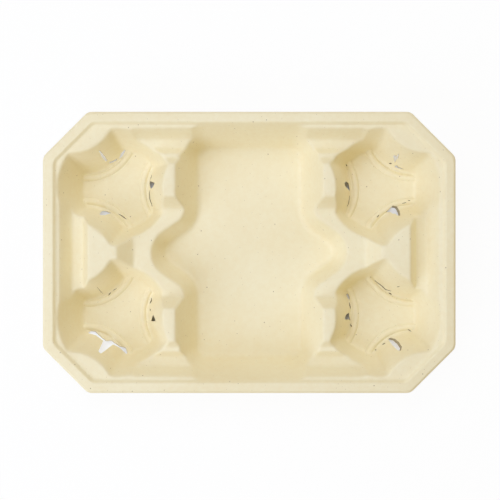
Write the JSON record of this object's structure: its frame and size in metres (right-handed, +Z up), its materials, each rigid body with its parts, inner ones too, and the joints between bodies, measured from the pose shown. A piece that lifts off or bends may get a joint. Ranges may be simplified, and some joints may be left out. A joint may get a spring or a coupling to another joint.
{
  "type": "moulded pulp cup carrier",
  "caption": "Moulded pulp carrier with an eight-sided rim, fingered cup wells in its corners and a long food tray with side bays between them.",
  "frame": {"origin": "middle of the footprint, on the surface the carrier rests on", "axes": "+X along the carrier's length, to the right in the picture; +Y across it, up in the picture; +Z up, out of the wells"},
  "size_m": [0.38, 0.259, 0.05],
  "materials": {
    "pulp": "matte"
  },
  "bodies": {
    "root": {"carrier": "pulp"}
  },
  "joints": []
}
